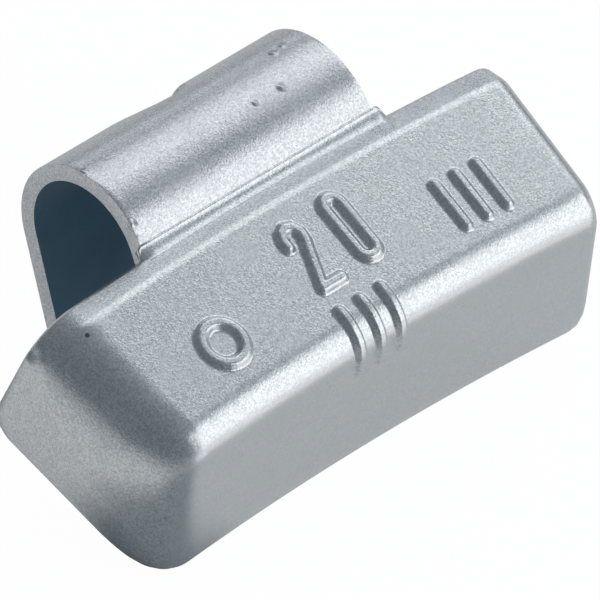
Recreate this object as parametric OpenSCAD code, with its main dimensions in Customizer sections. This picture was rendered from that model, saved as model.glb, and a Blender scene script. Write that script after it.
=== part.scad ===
// Clip-on wheel balance weight: a zinc casting that follows the rim, with a
// formed spring-steel clip cast into its top edge.
// The section is drawn as it sits on the wheel: Y points from the outer face of
// the casting to the rim flange, Z points away from the wheel's axis, and X runs
// along the rim. The finished weight is then laid on its back, as it comes to
// rest on a bench: on the lower back edge of the casting and the clip's free leg.

/* [Casting] */
// Length of the casting along the rim, at its top edge
body_len = 30.6; // [26:0.2:36]
// Thickness from the outer face to the flat that lies on the rim flange
body_t = 9; // [8:0.1:10]
// Height of the outer face, from the top edge to the bend
face_h = 9.2; // [8.4:0.1:11]
// How much lower the back edge lies than the bend
foot_drop = 3.2; // [1.5:0.1:4]
// How much the top face rises towards the back, as draft
top_rise = 0.2; // [0:0.1:0.8]
// Height of the slanted lip along the top of the outer face
lip_h = 1.3; // [0.8:0.1:2]
// Depth of the slanted lip
lip_d = 0.7; // [0.5:0.1:1.1]
// Radius of the wheel rim that the casting follows
rim_r = 200; // [150:1:260]

/* [Casting edges] */
// Radius of the bend between the outer face and the lower face
bend_r = 2; // [1:0.1:2.6]
// Radius of the lower back edge
foot_r = 2.2; // [0.8:0.1:2.6]
// Radius of the top back edge
back_r = 1.6; // [0.4:0.1:2]
// Radius of the two edges of the lip
lip_r = 0.5; // [0.2:0.05:0.7]
// Length of the rounding at each end
end_r = 2; // [1:0.1:3]
// How far the rounding draws the section in at each end
end_in = 2.3; // [1:0.1:2.6]
// Share of that by which the top face is drawn down
end_top = 0.12; // [0.05:0.01:1]
// Height of the dome on each end face
dome_h = 0.5; // [0.2:0.05:1]

/* [Clip] */
// Width of the clip along the rim
clip_w = 15.1; // [12:0.1:20]
// Thickness of the spring steel
clip_t = 0.85; // [0.6:0.05:1]
// Inside radius of the hook
hook_r = 3.4; // [3.2:0.05:3.7]
// How far the hook's axis lies behind the outer face
hook_y = 3.95; // [3.7:0.05:4.2]
// How far the hook's axis lies above the top edge
hook_z = 2.75; // [2.5:0.05:3]
// Slant of the clip where it leaves the casting, in degrees from upright
root_a = 40; // [36:1:46]
// Slant of the free leg, in degrees from upright
leg_a = 47; // [42:1:54]
// Straight length of the free leg
leg_len = 7.4; // [6:0.1:8]
// Radius of the free leg's outer corners
leg_corner_r = 1.6; // [0.6:0.1:2.5]

/* [Clip slot] */
// Place of the slot's deepest point along the clip
slot_x = 0.4; // [-1:0.1:1]
// Reach of the slot from its deepest point towards -X
slot_near = 3.4; // [2:0.1:4]
// Reach of the slot from its deepest point towards +X
slot_far = 1.5; // [1.2:0.1:3]
// Depth of the slot's rounded end, over the casting
slot_depth = 1.7; // [1:0.1:2.2]
// Reach of the slot towards the free leg
slot_back = 2.4; // [1.8:0.1:2.8]
// Radius of the slot's corners on the free leg's side
slot_r = 0.8; // [0.4:0.1:1.2]
// Angle on the hook, up from the back, that the slot is punched from
slot_a = 100; // [90:1:110]

/* [Marks] */
// Height of the raised marks
mark_h = 0.25; // [0.1:0.05:0.4]
// Width of the raised marks
mark_w = 0.45; // [0.3:0.05:0.8]
// Radius of the raised ring, to the middle of its line
ring_r = 1.1; // [0.8:0.1:1.5]
// Place of the raised ring along the casting
ring_x = -8.1; // [-9:0.1:-5]
// Length of the raised bars
bar_len = 2.4; // [1:0.1:3]
// Place of the middle one of the three raised bars
bars_x = 8.65; // [7:0.05:9]
// Distance from one bar to the next
bar_gap = 1.35; // [1:0.05:1.6]
// Place of the middle one of the three ribs over the bend
ribs_x = -0.35; // [-3:0.05:3]
// Distance from one rib to the next
rib_gap = 1.4; // [1:0.05:2]
// How far the middle of the ring and the bars lies below the top edge
marks_down = 5.7; // [4.5:0.05:6]

/* [Clip anchor] */
// Slanted length of the tail inside the casting, before its bend
tail_slope = 2.2; // [1.6:0.1:2.8]
// Inside radius of the tail's bend
tail_bend_r = 1.2; // [0.8:0.1:1.6]
// Straight length of the tail below its bend
tail_len = 4.2; // [3.6:0.1:4.8]
// Diameter of the anchor holes that the zinc fills
anchor_d = 2.4; // [1.5:0.1:3]
// Number of anchor holes
anchor_n = 3; // [2:1:4]

/* [Hidden] */
painted = [0.66, 0.69, 0.71];
sprung = [0.58, 0.62, 0.65];

// Section of the casting as corners [y, z, radius], from the top back edge round
// by the outer face to the lower back edge
corners = [
    [body_t, top_rise, back_r],
    [lip_d, 0, lip_r],
    [0, -lip_h, lip_r],
    [0, -face_h, bend_r],
    [body_t, -face_h - foot_drop, foot_r]
];
corner_steps = 6;
fine = 48;
section_mid = [body_t / 2, (top_rise - face_h - foot_drop) / 2];
section_half = [body_t / 2, (top_rise + face_h + foot_drop) / 2];

function unit(v) = v / norm(v);
function turn(v, a) = [v.x * cos(a) - v.y * sin(a), v.x * sin(a) + v.y * cos(a)];

// Points of the fillet at corner i, from the edge that comes in to the one that goes out
function fillet(i) =
    let (
        n = len(corners),
        at = [corners[i].x, corners[i].y],
        before = corners[(i + n - 1) % n],
        after = corners[(i + 1) % n],
        come = unit(at - [before.x, before.y]),
        go = unit([after.x, after.y] - at),
        bend = acos(come * go),
        r = corners[i].z,
        start = at - come * r * tan(bend / 2),
        centre = start + r * turn(come, 90)
    )
    [for (k = [0:corner_steps]) centre + turn(start - centre, bend * k / corner_steps)];

section = [for (i = [0:len(corners) - 1]) each fillet(i)];
ring_n = len(section);

half_len = body_len / 2;

// A point of the section, drawn in by d at an end
function drawn(p, d) = [
    section_mid.x + (p.x - section_mid.x) * (1 - d / section_half.x),
    top_rise - end_top * d - (top_rise - p.y) * (1 - (1 + end_top) * d / (2 * section_half.y))
];

// A point of the section at a station, wrapped round the rim: s is the part of the
// half length, the draw-in, the part of the way to the middle, and the dome's height
function wrapped(p, s) =
    let (
        edge = drawn(p, s[1]),
        at = edge + s[2] * (drawn(section_mid, s[1]) - edge),
        along = (s[0] * half_len + s[3] * sign(s[0])) / rim_r * 180 / PI
    )
    [(rim_r + at.y) * sin(along), at.x, (rim_r + at.y) * cos(along) - rim_r];

// Stations along the casting
span_steps = 20;
end_steps = 7;
dome_steps = 4;
straight = 1 - end_r / half_len;
end_stations = [
    for (k = [1:end_steps])
        let (a = 90 * k / end_steps)
        [straight + (1 - straight) * sin(a), end_in * (1 - cos(a)), 0, 0],
    for (k = [1:dome_steps - 1])
        let (u = k / dome_steps)
        [1, end_in, u, dome_h * (1 - pow(1 - u, 2))]
];
stations = [
    for (i = [len(end_stations) - 1:-1:0])
        let (s = end_stations[i])
        [-s[0], s[1], s[2], s[3]],
    for (k = [0:span_steps]) [straight * (2 * k / span_steps - 1), 0, 0, 0],
    each end_stations
];
rings = len(stations);
body_points = [
    for (s = stations) each [for (p = section) wrapped(p, s)],
    for (side = [-1, 1]) wrapped(section_mid, [side, end_in, 1, dome_h])
];
body_faces = [
    for (i = [0:rings - 2]) for (k = [0:ring_n - 1])
        let (a = i * ring_n + k, b = i * ring_n + (k + 1) % ring_n)
        each [[b, a, a + ring_n], [b + ring_n, b, a + ring_n]],
    for (k = [0:ring_n - 1]) [k, (k + 1) % ring_n, rings * ring_n],
    for (k = [0:ring_n - 1])
        let (last = (rings - 1) * ring_n)
        [last + (k + 1) % ring_n, last + k, rings * ring_n + 1]
];

// The clip's path: hook axis, then the tail's line inside the casting
hook = [hook_y, hook_z];
hook_out = hook_r + clip_t;
hook_mid = hook_r + clip_t / 2;
leg_dir = [sin(leg_a), -cos(leg_a)];
leg_out = [cos(leg_a), sin(leg_a)];
tail_centre = hook + tail_slope * [sin(root_a), -cos(root_a)]
    - (hook_out + tail_bend_r) * [cos(root_a), sin(root_a)];
tail_y = tail_centre.x + tail_bend_r + clip_t / 2;
leg_tip = hook + hook_out * leg_out + leg_len * leg_dir;
hook_steps = 48;
bend_steps = 8;

function list_back(list) = [for (i = [len(list) - 1:-1:0]) list[i]];
function arc(centre, r, a0, a1, steps) =
    [for (k = [0:steps]) let (a = a0 + (a1 - a0) * k / steps) centre + r * [cos(a), sin(a)]];

// One face of the sheet, from the tail's end to the free leg's tip: over is what
// the face adds to the hook's inside radius, and under what it adds to the bend's
function clip_side(over, under) = [
    tail_centre + [tail_bend_r + under, -tail_len],
    each arc(tail_centre, tail_bend_r + under, 0, root_a, bend_steps),
    each arc(hook, hook_r + over, 180 + root_a, leg_a, hook_steps),
    hook + (hook_r + over) * leg_out + leg_len * leg_dir
];
anchor_z = tail_centre.y - tail_len / 2;
anchor_gap = clip_w / anchor_n;
reach = 2 * hook_out;
slot_steps = 10;
overlap = 0.3;
bend_turn = 90 - atan2(foot_drop, body_t);
bend_axis = [bend_r, -face_h + bend_r * tan(bend_turn / 2)];

// How the weight lies: the height of a point [y, z] above a bench that is
// tipped by a, and the lean at which the casting and the free leg both touch it
function height(p, a) = -p.x * cos(a) + p.y * sin(a);
function across(p, a) = p.x * sin(a) + p.y * cos(a);
body_low = [for (p = body_points) if (p.y > body_t / 2) [p.y, p.z]];
function body_foot(a) = min([for (p = body_low) height(p, a)]);
function lean_between(lo, hi, n) =
    let (a = (lo + hi) / 2)
    n == 0 ? a
    : height(leg_tip, a) < body_foot(a) ? lean_between(a, hi, n - 1)
    : lean_between(lo, a, n - 1);
halvings = 24;
lean = lean_between(0, 45, halvings);
bench = body_foot(lean);
hook_back = across(hook, lean) + hook_out;
front_edge = min([for (p = body_points) across([p.y, p.z], lean)]);
middle = (front_edge + hook_back) / 2;

// Lays what is drawn in the wheel's frame on its back, on the bench
module lay_down() {
    translate([0, -middle, -bench]) rotate([lean - 90, 0, 0]) children();
}

// Extrudes a drawing of the [y, z] section along the rim, centred on x
module along_rim(width, x = 0) {
    translate([x - width / 2, 0, 0]) rotate([90, 0, 90]) linear_extrude(width) children();
}

// The clip's section, from the tail inside the casting over the hook to the free leg
module clip_section() {
    polygon(concat(clip_side(clip_t, 0), list_back(clip_side(0, clip_t))));
}

// Outline of the slot, drawn flat: two unequal quarter ellipses over the casting,
// and two round corners on the free leg's side
module slot_outline() {
    quarter = [for (k = [0:slot_steps]) 90 * k / slot_steps];
    low = slot_x - slot_near;
    high = slot_x + slot_far;
    polygon([
        for (a = quarter) [slot_x - slot_near * cos(a), -slot_depth * sin(a)],
        for (a = quarter) [slot_x + slot_far * sin(a), -slot_depth * cos(a)],
        for (a = quarter) [high - slot_r * (1 - cos(a)), slot_back - slot_r * (1 - sin(a))],
        for (a = quarter) [low + slot_r * (1 - sin(a)), slot_back - slot_r * (1 - cos(a))]
    ]);
}

// Punches the slot through the crown of the hook, where pliers hook in to pull the
// weight off the rim
module slot_cut() {
    translate([0, hook.x, hook.y]) rotate([slot_a - 90, 0, 0]) linear_extrude(reach) slot_outline();
}

// Rounds a corner of the free leg's end, at place x along the rim, on the side
// that side points to
module leg_corner_cut(x, side) {
    tip = hook + hook_mid * leg_out + leg_len * leg_dir;
    inner = x - side * leg_corner_r;
    translate([0, tip.x, tip.y]) rotate([leg_a - 90, 0, 0])
        translate([0, 0, -clip_t]) linear_extrude(2 * clip_t) difference() {
            translate([min(inner, inner + 2 * side * leg_corner_r), -leg_corner_r])
                square(2 * leg_corner_r);
            translate([inner, -leg_corner_r]) circle(leg_corner_r, $fn = fine);
        }
}

// The formed steel strip with its slot, its rounded leg and its anchor holes
module strip() {
    difference() {
        along_rim(clip_w) clip_section();
        slot_cut();
        for (side = [-1, 1]) leg_corner_cut(side * clip_w / 2, side);
        for (k = [0:anchor_n - 1])
            translate([(k - (anchor_n - 1) / 2) * anchor_gap, tail_y - clip_t, anchor_z])
                rotate([-90, 0, 0]) cylinder(d = anchor_d, h = 2 * clip_t, $fn = fine);
    }
}

// Raises a flat drawing [x, z] on the outer face
module on_face() {
    translate([0, overlap, 0]) rotate([90, 0, 0]) linear_extrude(overlap + mark_h) children();
}

// The cast marks: a ring, three bars with round ends, and three ribs over the bend
module marks() {
    on_face() {
        translate([ring_x, -marks_down]) difference() {
            circle(ring_r + mark_w / 2, $fn = fine);
            circle(ring_r - mark_w / 2, $fn = fine);
        }
        for (k = [-1:1]) translate([bars_x + k * bar_gap, -marks_down]) {
            square([mark_w, bar_len - mark_w], center = true);
            for (side = [-1, 1])
                translate([0, side * (bar_len - mark_w) / 2]) circle(d = mark_w, $fn = fine / 2);
        }
    }
    for (k = [-1:1])
        translate([ribs_x + k * rib_gap - mark_w / 2, bend_axis.x, bend_axis.y])
            rotate([0, 90, 0]) cylinder(r = bend_r + mark_h, h = mark_w, $fn = 2 * fine);
}

module zinc_body() {
    color(painted) lay_down() difference() {
        union() {
            polyhedron(body_points, body_faces, convexity = 4);
            marks();
        }
        strip();
    }
}

module rim_clip() {
    color(sprung) lay_down() strip();
}

zinc_body();
rim_clip();
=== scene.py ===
# A clip-on wheel balance weight, lying on its back as it would come to rest on a bench.
import math

import bmesh
import bpy
from mathutils import Matrix, Vector


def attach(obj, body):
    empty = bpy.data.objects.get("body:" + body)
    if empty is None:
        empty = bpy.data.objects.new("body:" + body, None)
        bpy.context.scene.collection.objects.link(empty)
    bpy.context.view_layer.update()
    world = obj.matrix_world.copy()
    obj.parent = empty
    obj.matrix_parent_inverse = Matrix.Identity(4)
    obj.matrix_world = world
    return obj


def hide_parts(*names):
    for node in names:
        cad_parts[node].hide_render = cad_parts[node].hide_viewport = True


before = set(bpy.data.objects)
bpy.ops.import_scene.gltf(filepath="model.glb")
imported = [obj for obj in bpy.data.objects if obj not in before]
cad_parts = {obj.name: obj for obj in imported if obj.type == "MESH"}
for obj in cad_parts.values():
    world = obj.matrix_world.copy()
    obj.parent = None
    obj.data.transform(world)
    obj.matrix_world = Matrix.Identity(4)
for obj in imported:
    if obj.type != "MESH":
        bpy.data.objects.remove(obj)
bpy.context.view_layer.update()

# The clip is a strip of spring steel, bent into a tail, a slope, a hook and a free leg,
# with a slot stamped through the crown of the hook. Its tail is cast into the zinc.
# Silver paint covers its outside, and the inner side of the bend is nearly bare, coloured dark
# blue-grey as painted shade.
CLIP_WIDTH = 15.1
SHEET = 0.85
HOOK = Vector((3.95, 2.75))
HOOK_RADIUS = 3.4 + SHEET / 2
HOOK_START = math.radians(220)
HOOK_END = math.radians(47)
SLOPE = 2.2
TAIL = 4.2
TAIL_BEND_RADIUS = 1.2 + SHEET / 2
TAIL_BEND = HOOK_START - math.pi
FREE_LEG = 7.4
LEG_CORNER = 1.6
WORN_EDGE = 0.13
SLOT_DEEPEST = 0.4
SLOT_ENDS = {-1: -3.0, 1: 1.9}
SLOT_DEPTH = 1.7
SLOT_BACK = 2.4
SLOT_CORNER = 0.8
SLOT_TURN = math.radians(10)
ARC_STEPS = 8

HOOK_FROM = TAIL + TAIL_BEND_RADIUS * TAIL_BEND + SLOPE
HOOK_TO = HOOK_FROM + HOOK_RADIUS * (HOOK_START - HOOK_END)
STRIP_END = HOOK_TO + FREE_LEG

# How finely the strip is cut up before it is bent: rows across it, and columns along it.
TAIL_ROWS = 3
TAIL_BEND_ROWS = 5
HOOK_ROWS = 48
LEG_ROWS = 12
LEG_CORNER_SIDES = 6
COLUMNS = 14
COLUMN = 0.52
CLOSE = 0.01
TOO_CLOSE = 0.03

# Each shape is drawn in millimetres, as it hangs on a wheel: X along the rim, Y from the
# outer face to the rim flange, Z away from the axle. Then it is laid down, in metres.
LEAN = math.radians(16.7471)
RESTS_AT = (0, 0.752394, 11.5067)
LAY_DOWN = (
    Matrix.Scale(0.001, 4)
    @ Matrix.Translation(RESTS_AT)
    @ Matrix.Rotation(LEAN - math.pi / 2, 4, "X")
)


def along_hook(back):
    """Place along the strip that lies this far back of the hook's axis, seen along the punch."""
    return HOOK_FROM + HOOK_RADIUS * (HOOK_START - SLOT_TURN - math.acos(back / HOOK_RADIUS))


def bent(place):
    """(y, z) of the middle of the sheet at this place along the strip, from the tail's end."""
    slope_way = Vector((math.sin(TAIL_BEND), -math.cos(TAIL_BEND)))
    across = Vector((math.cos(TAIL_BEND), math.sin(TAIL_BEND)))
    if place >= HOOK_TO:
        out = Vector((math.cos(HOOK_END), math.sin(HOOK_END)))
        return HOOK + HOOK_RADIUS * out + (place - HOOK_TO) * Vector((out.y, -out.x))
    if place >= HOOK_FROM:
        angle = HOOK_START - (place - HOOK_FROM) / HOOK_RADIUS
        return HOOK + HOOK_RADIUS * Vector((math.cos(angle), math.sin(angle)))
    if place >= HOOK_FROM - SLOPE:
        return HOOK - HOOK_RADIUS * across + (HOOK_FROM - place) * slope_way
    centre = HOOK + SLOPE * slope_way - (HOOK_RADIUS + TAIL_BEND_RADIUS) * across
    if place >= TAIL:
        angle = (place - TAIL) / TAIL_BEND_RADIUS
        return centre + TAIL_BEND_RADIUS * Vector((math.cos(angle), math.sin(angle)))
    return centre + Vector((TAIL_BEND_RADIUS, place - TAIL))


def cut(point, way):
    """Cuts the flat strip through at a point, square to this way."""
    everything = bm.verts[:] + bm.edges[:] + bm.faces[:]
    bmesh.ops.bisect_plane(bm, geom=everything, plane_co=point, plane_no=way)


def piece(name, bm, *materials):
    """Lays a drawn shape down and makes it an object at the origin."""
    bmesh.ops.transform(bm, matrix=LAY_DOWN, verts=bm.verts)
    mesh = bpy.data.meshes.new(name)
    bm.to_mesh(mesh)
    bm.free()
    mesh.shade_smooth()
    for material in materials:
        mesh.materials.append(material)
    made = bpy.data.objects.new(name, mesh)
    bpy.context.scene.collection.objects.link(made)
    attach(made, "root")
    return made


bm = bmesh.new()
half = CLIP_WIDTH / 2
quarter = [math.pi / 2 * k / ARC_STEPS for k in range(ARC_STEPS + 1)]
for side, slot_end in SLOT_ENDS.items():
    outline = [(SLOT_DEEPEST, 0), (side * half, 0), (side * half, STRIP_END)]
    outline += [(SLOT_DEEPEST, STRIP_END), (SLOT_DEEPEST, along_hook(SLOT_BACK))]
    for a in quarter:
        x = slot_end - side * SLOT_CORNER * (1 - math.sin(a))
        outline += [(x, along_hook(SLOT_BACK - SLOT_CORNER * (1 - math.cos(a))))]
    for a in quarter:
        x = SLOT_DEEPEST + (slot_end - SLOT_DEEPEST) * math.cos(a)
        outline += [(x, along_hook(-SLOT_DEPTH * math.sin(a)))]
    bm.faces.new([bm.verts.new((x, place, 0)) for x, place in outline])
leg_corners = [v for v in bm.verts if abs(v.co.x) > half - CLOSE and v.co.y > STRIP_END - CLOSE]
bmesh.ops.bevel(
    bm,
    geom=leg_corners,
    offset=LEG_CORNER,
    segments=LEG_CORNER_SIDES,
    profile=0.5,
    affect="VERTICES",
    material=-1,
)
rows = [TAIL * k / TAIL_ROWS for k in range(1, TAIL_ROWS)]
rows += [TAIL + (HOOK_FROM - SLOPE - TAIL) * k / TAIL_BEND_ROWS for k in range(TAIL_BEND_ROWS + 1)]
rows += [HOOK_FROM - SLOPE / 2]
rows += [HOOK_FROM + (HOOK_TO - HOOK_FROM) * k / HOOK_ROWS for k in range(HOOK_ROWS + 1)]
rows += [HOOK_TO + FREE_LEG * k / LEG_ROWS for k in range(1, LEG_ROWS)]
for place in rows:
    cut((0, place, 0), (0, 1, 0))
for k in range(-COLUMNS, COLUMNS + 1):
    cut((k * COLUMN, 0, 0), (1, 0, 0))
bmesh.ops.remove_doubles(bm, verts=bm.verts, dist=TOO_CLOSE)
for vert in bm.verts:
    vert.co = Vector((vert.co.x, *bent(vert.co.y)))
bmesh.ops.recalc_face_normals(bm, faces=bm.faces)
crown = max(bm.faces, key=lambda f: f.calc_center_median().z)
if crown.normal.z < 0:
    bmesh.ops.reverse_faces(bm, faces=bm.faces)


class Wire:
    """A shader socket that Python's own signs work on."""

    def __init__(self, nodes, socket):
        self.nodes, self.socket = nodes, socket

    def work_out(self, operation, *values):
        return self.nodes.node("ShaderNodeMath", {"operation": operation}, *values)

    def __add__(self, other):
        return self.work_out("ADD", self, other)

    def __sub__(self, other):
        return self.work_out("SUBTRACT", self, other)

    def __rsub__(self, other):
        return self.work_out("SUBTRACT", other, self)

    def __mul__(self, other):
        return self.work_out("MULTIPLY", self, other)

    __radd__ = __add__
    __rmul__ = __mul__


class Nodes:
    """Shader nodes that are added one line at a time."""

    def __init__(self, tree):
        self.tree = tree

    def node(self, kind, settings, *values, output=0, **named):
        """Adds a node: its settings first, then the values or links of its sockets."""
        made = self.tree.nodes.new(kind)
        for name, value in settings.items():
            setattr(made, name, value)
        sockets = list(zip(made.inputs, values))
        sockets += [(made.inputs[name.replace("_", " ")], value) for name, value in named.items()]
        for socket, value in sockets:
            if isinstance(value, Wire):
                self.tree.links.new(value.socket, socket)
            else:
                socket.default_value = value
        return Wire(self, made.outputs[output])

    def between(self, value, low, high, to_low, to_high):
        """Goes smoothly from to_low, where the value is low, to to_high, where it is high."""
        smooth = {"interpolation_type": "SMOOTHSTEP"}
        return self.node("ShaderNodeMapRange", smooth, value, low, high, to_low, to_high)

    def show(self, output, shader):
        self.tree.links.new(shader.socket, self.tree.nodes[output].inputs["Surface"])


class Finish(Nodes):
    """A material, with the constants of its shader."""

    def __init__(self, name, **constants):
        self.material = bpy.data.materials.new(name)
        self.material.use_nodes = True
        super().__init__(self.material.node_tree)
        self.shader = self.tree.nodes["Principled BSDF"]
        for socket, value in constants.items():
            self.shader.inputs[socket.replace("_", " ")].default_value = value
        self.place = self.node("ShaderNodeTexCoord", {}, output="Object")

    def noise(self, scale, detail):
        return self.node("ShaderNodeTexNoise", {}, Vector=self.place, Scale=scale, Detail=detail)

    def away_from(self, centre):
        """How far each point is from this place on the weight, in metres."""
        distance = {"operation": "DISTANCE"}
        return self.node("ShaderNodeVectorMath", distance, self.place, centre, output="Value")

    def mix(self, factor, dark, light):
        return self.node("ShaderNodeMix", {"data_type": "RGBA"}, factor, output=2, A=dark, B=light)

    def bump(self, height, strength, distance):
        return self.node(
            "ShaderNodeBump",
            {},
            Strength=strength,
            Distance=distance,
            Height=height,
            output="Normal",
        )

    def feed(self, **wires):
        for socket, wire in wires.items():
            self.tree.links.new(wire.socket, self.shader.inputs[socket.replace("_", " ")])


SPECK = (0.14, 0.17, 0.2, 1)

# How fine the paint's patterns are, in repeats to the metre, and how much of each shows.
CLOUDS = 500.0
WAVES = 1300.0
PEEL = 5200.0
GRAIN = 12000.0
FLAKES = 13000.0
CLOUD_TINT = 0.15
WAVE_RISE = 0.06
PEEL_RISE = 0.08
GRAIN_RISE = 0.16
PAINT_DEPTH = 0.00005


def silver_paint(name, dark, light, blemishes):
    """Silver paint of fine aluminium flakes, whose glints are painted into its colour as a
    speckle.

    A blemish is (centre, radius, rise): a lump or a dent, or a dark speck where it has no rise.
    """
    paint = Finish(name, Metallic=0.9, IOR=1.5)
    cloud = paint.noise(CLOUDS, 2)
    # The flakes' glints are painted into the colour as a speckle.
    flake = paint.node(
        "ShaderNodeTexVoronoi", {"feature": "F1"}, Vector=paint.place, Scale=FLAKES, output="Color"
    )
    glint = paint.node("ShaderNodeSeparateColor", {}, flake)
    facing = paint.node("ShaderNodeNewGeometry", {}, output="Normal")
    facing_back = paint.node("ShaderNodeSeparateXYZ", {}, facing, output="Y")
    # The lower face of the casting, which looks straight to the front, is smoother than the rest,
    # and its painted glints are weaker.
    glint_and_grain_share = paint.between(facing_back, -0.99, -0.7, 0.25, 1.0)
    cloud_tone_and_glint = (glint - 0.5) * glint_and_grain_share + 0.5 + (cloud - 0.5) * CLOUD_TINT
    colour = paint.mix(cloud_tone_and_glint, dark, light)
    grain, peel, waves = paint.noise(GRAIN, 1), paint.noise(PEEL, 2), paint.noise(WAVES, 2)
    height = grain * GRAIN_RISE * glint_and_grain_share + peel * PEEL_RISE + waves * WAVE_RISE
    for centre, radius, rise in blemishes:
        away = paint.away_from(centre)
        if rise:
            height = height + paint.between(away, 0.0, radius, rise, 0.0)
        else:
            colour = paint.mix(paint.between(away, radius / 2, radius, 0.0, 1.0), SPECK, colour)
    paint.feed(
        Base_Color=colour,
        Roughness=paint.between(cloud, 0.3, 0.7, 0.24, 0.29),
        Normal=paint.bump(height, 1.0, PAINT_DEPTH),
    )
    return paint


# Lumps in the clip's paint, as (centre, radius, rise), with the places in metres on the
# weight as it lies.
LUMPS = (
    ((0.00541, 0.00582, 0.01256), 0.00032, 1.5),
    ((0.00615, 0.00597, 0.01253), 0.0003, 1.2),
    ((0.00397, 0.00384, 0.01271), 0.00034, 1.4),
    ((0.00224, 0.00381, 0.01271), 0.00026, 1.0),
    ((-0.00742, 0.00545, 0.01264), 0.0003, 1.8),
    ((-0.00745, 0.00194, 0.01189), 0.0004, 2.2),
    ((-0.0074, 0.0013, 0.0116), 0.0003, 1.8),
)
STEEL_SMOKE = 700.0
STEEL_GRAIN = 6000.0
STEEL_DEPTH = 0.00003
outside = silver_paint("silver_paint_on_steel", (0.5, 0.52, 0.54, 1), (0.76, 0.78, 0.8, 1), LUMPS)
# The bend's inner side gets a dark blue-grey colour: bare steel with painted shade and painted
# reflection.
painted_shade_inside = Finish("bare_inside_with_painted_shade", Metallic=0.0, IOR=1.4)
smoke = painted_shade_inside.noise(STEEL_SMOKE, 4)
painted_shade_inside.feed(
    Base_Color=painted_shade_inside.mix(smoke, (0.19, 0.34, 0.45, 1), (0.26, 0.43, 0.55, 1)),
    Roughness=painted_shade_inside.between(smoke, 0.3, 0.7, 0.45, 0.6),
    Normal=painted_shade_inside.bump(painted_shade_inside.noise(STEEL_GRAIN, 3), 0.5, STEEL_DEPTH),
)

clip = piece("spring_clip", bm, outside.material, painted_shade_inside.material)
thickness = clip.modifiers.new("sheet", "SOLIDIFY")
thickness.thickness = SHEET * 0.001
thickness.offset = 0
thickness.use_even_offset = True
thickness.material_offset = 1
rounding = clip.modifiers.new("worn_edges", "BEVEL")
rounding.width = WORN_EDGE * 0.001
rounding.segments = 3
rounding.limit_method = "ANGLE"
rounding.angle_limit = math.radians(50)
rounding.material = 0
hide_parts("rim_clip")

# The weight itself is die-cast zinc: one blunt bar with a slanted lip along the top of
# its outer face, a soft bend below it and domed ends, all along the curve of the rim.
# The marks stand proud, and the paint that fills their corners leaves them soft.
LENGTH = 30.6
RIM = 200
DEPTH = 9
HALF_DEPTH = DEPTH / 2
LIP_LINE = -1.3
BEND_LINE = -9.2
BACK_LINE = -12.4
BEND_RADIUS = 2
BEND_CENTRE = Vector((2, -7.79))
BEND_TURN = math.radians(70.4)
CORNERS = (
    (DEPTH, 0.2, 1.6),
    (0.7, 0, 0.5),
    (0, LIP_LINE, 0.9),
    (0, BEND_LINE, BEND_RADIUS),
    (DEPTH, BACK_LINE, 2.2),
)
CORNER_SIDES = 8
LONG_SIDE = 2.5
FACE_CUTS = 19
LOWER_CUTS = 17
STRAIGHT = 12.6
SPANS = 80

# Each end, as (side, how deep its rounding is, how far it is drawn in, how much its
# corners are softened, how much less it is drawn in at the top than at the bottom).
ENDS = ((-1, 3.2, 1.8, 0.05, 0.3), (1, 2.1, 1.0, 0.0, 0.0))
END_LINE = Vector((0, 5.9, -1.15))
END_HEIGHT = 9.2
END_RINGS = 18
DRAW_POWER = 2.2
ROUND_POWER = 0.4
TOP_FADE = 9
DOME = 0.5
FACE_MIDDLE = Vector((0, 5.0, -5.09))
FACE_RINGS = (0.12, 0.25, 0.38, 0.5, 0.6, 0.7, 0.8, 0.9)
SOFTER_BELOW = 1.2
SOFTER_BEHIND = 2
SOFTER_ON_LIP = 0.25

bm = bmesh.new()
section = bm.faces.new([bm.verts.new((-STRAIGHT, y, z)) for y, z, _ in CORNERS])
points = [Vector((y, z)) for y, z, _ in CORNERS]
corner_verts = list(section.verts)
for i, (y, z, radius) in enumerate(CORNERS):
    come = (points[i] - points[i - 1]).normalized()
    go = (points[(i + 1) % len(points)] - points[i]).normalized()
    bmesh.ops.bevel(
        bm,
        geom=[corner_verts[i]],
        offset=radius * math.tan(come.angle(go) / 2),
        segments=CORNER_SIDES,
        profile=0.5,
        affect="VERTICES",
        material=-1,
    )
sides = [e for e in bm.edges if e.calc_length() > LONG_SIDE]
face_side = [e for e in sides if max(abs(v.co.y) for v in e.verts) < CLOSE]
lower_side = [e for e in sides if max(v.co.z for v in e.verts) < BEND_LINE]
bmesh.ops.subdivide_edges(bm, edges=face_side, cuts=FACE_CUTS)
bmesh.ops.subdivide_edges(bm, edges=lower_side, cuts=LOWER_CUTS)


def edges_of(faces):
    """The edges of these faces, each of them once and always in the same order."""
    return list(dict.fromkeys(e for f in faces for e in f.edges))


def grow(faces, along, shrink=(1, 1), about=END_LINE):
    """Extrudes the end of a bar on by this much, and draws it in about a line along it."""
    grown = bmesh.ops.extrude_face_region(bm, geom=faces + edges_of(faces))["geom"]
    verts = [g for g in grown if isinstance(g, bmesh.types.BMVert)]
    bmesh.ops.translate(bm, vec=(along, 0, 0), verts=verts)
    bmesh.ops.scale(bm, vec=(1, *shrink), space=Matrix.Translation(-about), verts=verts)
    return [g for g in grown if isinstance(g, bmesh.types.BMFace)]


def outermost(side):
    """The face at this end of the bar."""
    return [max(bm.faces, key=lambda f: side * f.calc_center_median().x)]


def come_out(deep, left):
    """How far a rounding of this depth has come out where this share of the outline is left."""
    return deep * (1 - left**2) ** ROUND_POWER


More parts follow.
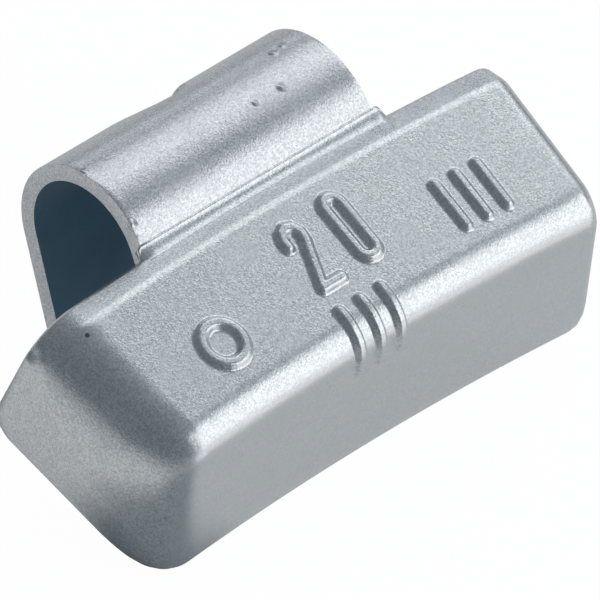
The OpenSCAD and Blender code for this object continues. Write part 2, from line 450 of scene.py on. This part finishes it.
def soften(verts, before, fits, softer, less_at_top):
    """Draws a ring of an end in less at its top, and takes in its corners."""
    for vert in verts:
        part = 1 - less_at_top * max(0, 1 + vert.co.z / TOP_FADE)
        y = END_LINE.y + (vert.co.y - END_LINE.y) * before / fits[0] / (1 - part * (1 - before))
        z = END_LINE.z + (vert.co.z - END_LINE.z) / fits[1]
        foot = BEND_LINE + y * (BACK_LINE - BEND_LINE) / DEPTH
        a, b = y / HALF_DEPTH - 1, 1 - 2 * z / foot
        weight = SOFTER_BELOW if b < 0 else SOFTER_BEHIND if a > 0 else SOFTER_ON_LIP
        pull = min(1, (a**4 + b**4) ** (-softer * weight / 4))
        y, z = HALF_DEPTH * (1 + a * pull), (1 - b * pull) * foot / 2
        vert.co.y = END_LINE.y + (y - END_LINE.y) * (1 - part * (1 - fits[0]))
        vert.co.z = END_LINE.z + (z - END_LINE.z) * fits[1]


end = [bm.faces[:][0]]
for _ in range(SPANS):
    end = grow(end, 2 * STRAIGHT / SPANS)
for side, deep, drawn_in, softer, less_at_top in ENDS:
    end = outermost(side)
    more_straight = LENGTH / 2 + DOME - deep - STRAIGHT
    if more_straight > CLOSE:
        end = grow(end, side * more_straight)
    out, fits = 0, (1, 1)
    for k in range(1, END_RINGS + 1):
        drawn = drawn_in * (k / END_RINGS) ** DRAW_POWER
        now = (1 - drawn / HALF_DEPTH, 1 - drawn / END_HEIGHT)
        now_out = come_out(deep, now[0])
        end = grow(end, side * (now_out - out), (now[0] / fits[0], now[1] / fits[1]))
        soften(end[0].verts, fits[0], now, softer, less_at_top)
        out, fits = now_out, now
    left = 1
    for inwards in FACE_RINGS:
        now_out = come_out(deep, (1 - inwards) * fits[0])
        shrink = (1 - inwards) / left
        end = grow(end, side * (now_out - out), (shrink, shrink), FACE_MIDDLE)
        out, left = now_out, 1 - inwards
    middle = bmesh.ops.poke(bm, faces=end)["verts"]
    bmesh.ops.translate(bm, vec=(side * (deep - out), 0, 0), verts=middle)

# The marks are the weight in grams, a ring, three bars, and three ribs over the bend.
# Each is a stroke on the outer face, as (x, how far down from the top).
MARK_HEIGHT = 0.27
MARK_CORE = 0.13
MARK_EDGE = 0.43
LONGEST_ACROSS = 2
OVAL_SIDES = 24
MARKED_DEPTH = 3
MARKED_TOP = -1.6
MARK_CUTS = 4


def oval(x, down, half_width, half_height):
    """A closed ring with straight sides, drawn as one stroke."""
    ring = []
    for k in range(OVAL_SIDES + 1):
        a = math.tau * k / OVAL_SIDES
        round_from = down - math.copysign(half_height - half_width, math.cos(a))
        ring.append((x + half_width * math.sin(a), round_from - half_width * math.cos(a)))
    return ring


two = [(-1.62, 3.55), (-1.62, 3.2), (-1.45, 2.85), (-1.1, 2.68), (-0.72, 2.8), (-0.5, 3.15)]
two += [(-0.55, 3.6), (-1.62, 6.1), (-0.35, 6.1)]
zero = oval(1.92, 4.2, 0.52, 1.75)
plain_ring = oval(-8.1, 5.75, 1.1, 1.1)
bars = [[(x, 4.5), (x, 6.9)] for x in (7.3, 8.65, 10.0)]
ribs = [[(x, 7.5), (x, 10.7)] for x in (-1.75, -0.35, 1.05)]
STROKES = [[Vector(point) for point in stroke] for stroke in [two, zero, plain_ring] + bars + ribs]


def mark_height(x, down):
    """How far the marks stand proud at a point of the outer face, measured down from its top."""
    nearest, here = MARK_EDGE, Vector((x, down))
    for stroke in STROKES:
        for a, b in zip(stroke, stroke[1:]):
            if abs(x - a.x) < LONGEST_ACROSS + MARK_EDGE:
                t = max(0, min(1, (here - a).dot(b - a) / (b - a).length_squared))
                nearest = min(nearest, (here - a - t * (b - a)).length)
    rise = min(1, (MARK_EDGE - nearest) / (MARK_EDGE - MARK_CORE))
    return MARK_HEIGHT * rise * rise * (3 - 2 * rise)


def on_face(y, z):
    """The nearest point of the outer face, the way out of it, and how far down it lies."""
    from_bend = Vector((y, z)) - BEND_CENTRE
    turned = math.atan2(-from_bend.y, -from_bend.x)
    if z > BEND_CENTRE.y:
        return Vector((0, z)), Vector((-1, 0)), -z
    if turned < BEND_TURN:
        out = from_bend.normalized()
        return BEND_CENTRE + BEND_RADIUS * out, out, BEND_RADIUS * turned - BEND_CENTRE.y
    out = Vector((-math.cos(BEND_TURN), -math.sin(BEND_TURN)))
    past = from_bend.dot(Vector((-out.y, out.x)))
    return Vector((y, z)), out, BEND_RADIUS * BEND_TURN - BEND_CENTRE.y + past


def marked(at, spare=0):
    """Whether a point lies in the part of the outer face that carries the marks."""
    return abs(at.x) < STRAIGHT + spare and at.y < MARKED_DEPTH and at.z < MARKED_TOP + 2 * spare


marked_faces = [f for f in bm.faces if marked(f.calc_center_median())]
bmesh.ops.subdivide_edges(bm, edges=edges_of(marked_faces), cuts=MARK_CUTS, use_grid_fill=True)
for vert in bm.verts:
    if marked(vert.co, CLOSE):
        x, y, z = vert.co
        foot, out, down = on_face(y, z)
        vert.co = (x, *(foot + mark_height(x, down) * out))
for vert in bm.verts:
    x, y, z = vert.co
    vert.co = ((RIM + z) * math.sin(x / RIM), y, (RIM + z) * math.cos(x / RIM) - RIM)

# Specks and a dent in the casting's paint, placed as the clip's lumps are.
SPECKS = (
    ((-0.01331, -0.00129, 0.01075), 0.00017, 0),
    ((-0.0068, -0.0085, 0.0055), 0.00012, 0),
    ((0.0102, -0.0084, 0.0052), 0.00012, 0),
    ((-0.0152, 0.0003, 0.0094), 0.0006, -1.5),
)
casting_paint = silver_paint(
    "silver_paint_on_zinc", (0.55, 0.575, 0.59, 1), (0.83, 0.855, 0.87, 1), SPECKS
)
bmesh.ops.recalc_face_normals(bm, faces=bm.faces)
casting = piece("zinc_casting", bm, casting_paint.material)
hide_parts("zinc_body")

# Paint gathers in the corner where the clip comes out of the zinc. It leaves a thin
# bright fillet there, which runs out on the top of the casting past the clip's sides.
FILLET_OVER_CLIP = math.radians(214)
FILLET_OVER_LIP = Vector((0.47, -0.43))
FILLET_CORNER = Vector((0.72, -0.02))
FILLET_ROOT = [Vector((1.2, -0.3)), Vector((1.0, 0.4))]
FILLET_CURVE = (0, 0.15, 0.3, 0.5, 0.7, 0.85, 1)
FILLET_SPANS = 24
FILLET_FOOT = 0.1
RUN_OUT = 0.13
RUN_OUT_SCALES = ((-1, (0.8, 0.5, 0.1)), (1, (1.02, 0.98, 0.88, 0.7, 0.3)))
RUN_OUT_LINE = Vector((0, 0.85, -0.12))

over_clip = Vector((math.cos(FILLET_OVER_CLIP), math.sin(FILLET_OVER_CLIP)))
clip_side = HOOK + (HOOK_RADIUS + SHEET / 2) * over_clip
hollow = [
    (1 - t) ** 2 * clip_side + 2 * t * (1 - t) * FILLET_CORNER + t * t * FILLET_OVER_LIP
    for t in FILLET_CURVE
]
bm = bmesh.new()
end = [bm.faces.new([bm.verts.new((-half, y, z)) for y, z in hollow + FILLET_ROOT])]
for _ in range(FILLET_SPANS):
    end = grow(end, CLIP_WIDTH / FILLET_SPANS)
for side, scales in RUN_OUT_SCALES:
    end = outermost(side)
    for scale in scales:
        end = grow(end, side * RUN_OUT, (scale, scale), RUN_OUT_LINE)
for vert in bm.verts:
    if vert.co.z < FILLET_FOOT:
        vert.co.z -= vert.co.x ** 2 / (2 * RIM)
bmesh.ops.recalc_face_normals(bm, faces=bm.faces)
fillet = piece("paint_fillet", bm, casting_paint.material)

# The weight lies on a plain white table. The camera sees it as paper white, with the
# soft shadow of the weight. The paint mirrors it with painted light and shade: grey next to
# the weight, painted shade nearly dark off its near corner and in two spots, and a painted
# pool of light in front of its lower face.
TABLE_SIZE = 0.9
PAPER_WHITE = 0.93
GLOW = 1.05
# Two spots of painted shadow on the table near the weight's near corner, seen only in the paint.
PAINTED_SHADOW_SPOTS = ((-0.016, -0.0095, 0), (-0.0165, -0.018, 0))
SPOT_CORE = 0.004
SPOT_EDGE = 0.009

bm = bmesh.new()
bmesh.ops.create_grid(bm, x_segments=1, y_segments=1, size=TABLE_SIZE)
mesh = bpy.data.meshes.new("table")
bm.to_mesh(mesh)
bm.free()
table = bpy.data.objects.new("table", mesh)
bpy.context.scene.collection.objects.link(table)
paper = Finish("white_table", Roughness=0.9, Base_Color=(0.6, 0.62, 0.63, 1))
seen = paper.node("ShaderNodeLightPath", {}, output="Is Camera Ray")
mirrored = paper.node("ShaderNodeLightPath", {}, output="Is Glossy Ray")
x = paper.node("ShaderNodeSeparateXYZ", {}, paper.place, output="X")
y = paper.node("ShaderNodeSeparateXYZ", {}, paper.place, output="Y")
# In the paint's reflections the table is partly its own shading and partly painted light and
# painted shade.
painted_light_beside = paper.between(x, -0.08, -0.03, 0.16, 0.45) - paper.between(x, -0.02, -0.012, 0.0, 0.09)
for spot in PAINTED_SHADOW_SPOTS:
    painted_light_beside = painted_light_beside * paper.between(paper.away_from(spot), SPOT_CORE, SPOT_EDGE, 0.0, 1.0)
painted_shade_off_corner = paper.between(y, -0.03, -0.014, 0.75, 0.0) * paper.between(x, -0.012, 0.0, 1.0, 0.0)
painted_light_in_front = paper.between(y, -0.04, -0.024, 0.8, 0.0) * paper.between(x, -0.018, 0.004, 0.0, 1.0)
painted_glow_share = seen * PAPER_WHITE + mirrored * (painted_light_beside * (1 - painted_shade_off_corner) + painted_light_in_front)
glow = paper.node("ShaderNodeEmission", {}, (1, 1, 1, 1), GLOW)
plain = Wire(paper, paper.shader.outputs[0])
paper.show("Material Output", paper.node("ShaderNodeMixShader", {}, painted_glow_share, plain, glow))
mesh.materials.append(paper.material)

# Soft boxes round the table, as (name, direction, distance, width, height, watts), all
# turned to the weight.
BOXES = (
    ("front_box", (0.56, -0.72, 0.41), 0.4, 0.42, 0.33, 0.51),
    ("rear_box", (0.6, 0.37, 0.72), 0.4, 0.36, 0.2, 0.2),
    ("side_box", (0.8, 0.0, 0.6), 0.5, 0.5, 0.4, 0.13),
    ("low_box", (0.71, 0.66, 0.25), 0.4, 0.3, 0.09, 0.053),
)
for name, direction, distance, width, height, watts in BOXES:
    light = bpy.data.lights.new(name, "AREA")
    light.shape, light.size, light.size_y, light.energy = "RECTANGLE", width, height, watts
    box = bpy.data.objects.new(name, light)
    towards = Vector(direction).normalized()
    turned = towards.to_track_quat("Z", "Y").to_matrix().to_4x4()
    box.matrix_world = Matrix.Translation(towards * distance) @ turned
    bpy.context.scene.collection.objects.link(box)

# The room is dim at the near end of the weight and paler at its far end. The camera
# sees it as white.
world = bpy.data.worlds.new("studio")
bpy.context.scene.world = world
world.use_nodes = True
room = Nodes(world.node_tree)
way = room.node("ShaderNodeTexCoord", {}, output="Generated")
to_far_end = room.node("ShaderNodeSeparateXYZ", {}, way, output="X")
strength = room.between(to_far_end, -0.8, 0.7, 0.3, 0.45)
dim = room.node("ShaderNodeBackground", {}, (0.53, 0.6, 0.66, 1), strength)
white = room.node("ShaderNodeBackground", {}, (1, 1, 1, 1), 1.0)
in_view = room.node("ShaderNodeLightPath", {}, output="Is Camera Ray")
room.show("World Output", room.node("ShaderNodeMixShader", {}, in_view, dim, white))

# The photograph is taken with a long lens from above the near end of the weight, with
# the camera slightly rolled.
TARGET = Vector((-0.00123, -0.003605, 0.00765))
DISTANCE = 0.8094
FIELD = 0.02794
SENSOR = 36
AZIMUTH = math.radians(-50.97)
ELEVATION = math.radians(43.8)
ROLL = math.radians(9.54)
camera = bpy.data.cameras.new("camera")
camera.sensor_width = SENSOR
camera.lens = SENSOR * DISTANCE / FIELD
camera.clip_start = 0.01
viewer = bpy.data.objects.new("camera", camera)
aim = (
    Matrix.Rotation(AZIMUTH, 4, "Z")
    @ Matrix.Rotation(math.pi / 2 - ELEVATION, 4, "X")
    @ Matrix.Rotation(ROLL, 4, "Z")
)
viewer.matrix_world = Matrix.Translation(TARGET) @ aim @ Matrix.Translation((0, 0, DISTANCE))
bpy.context.scene.collection.objects.link(viewer)
bpy.context.scene.camera = viewer
bpy.context.scene.view_settings.view_transform = "Standard"
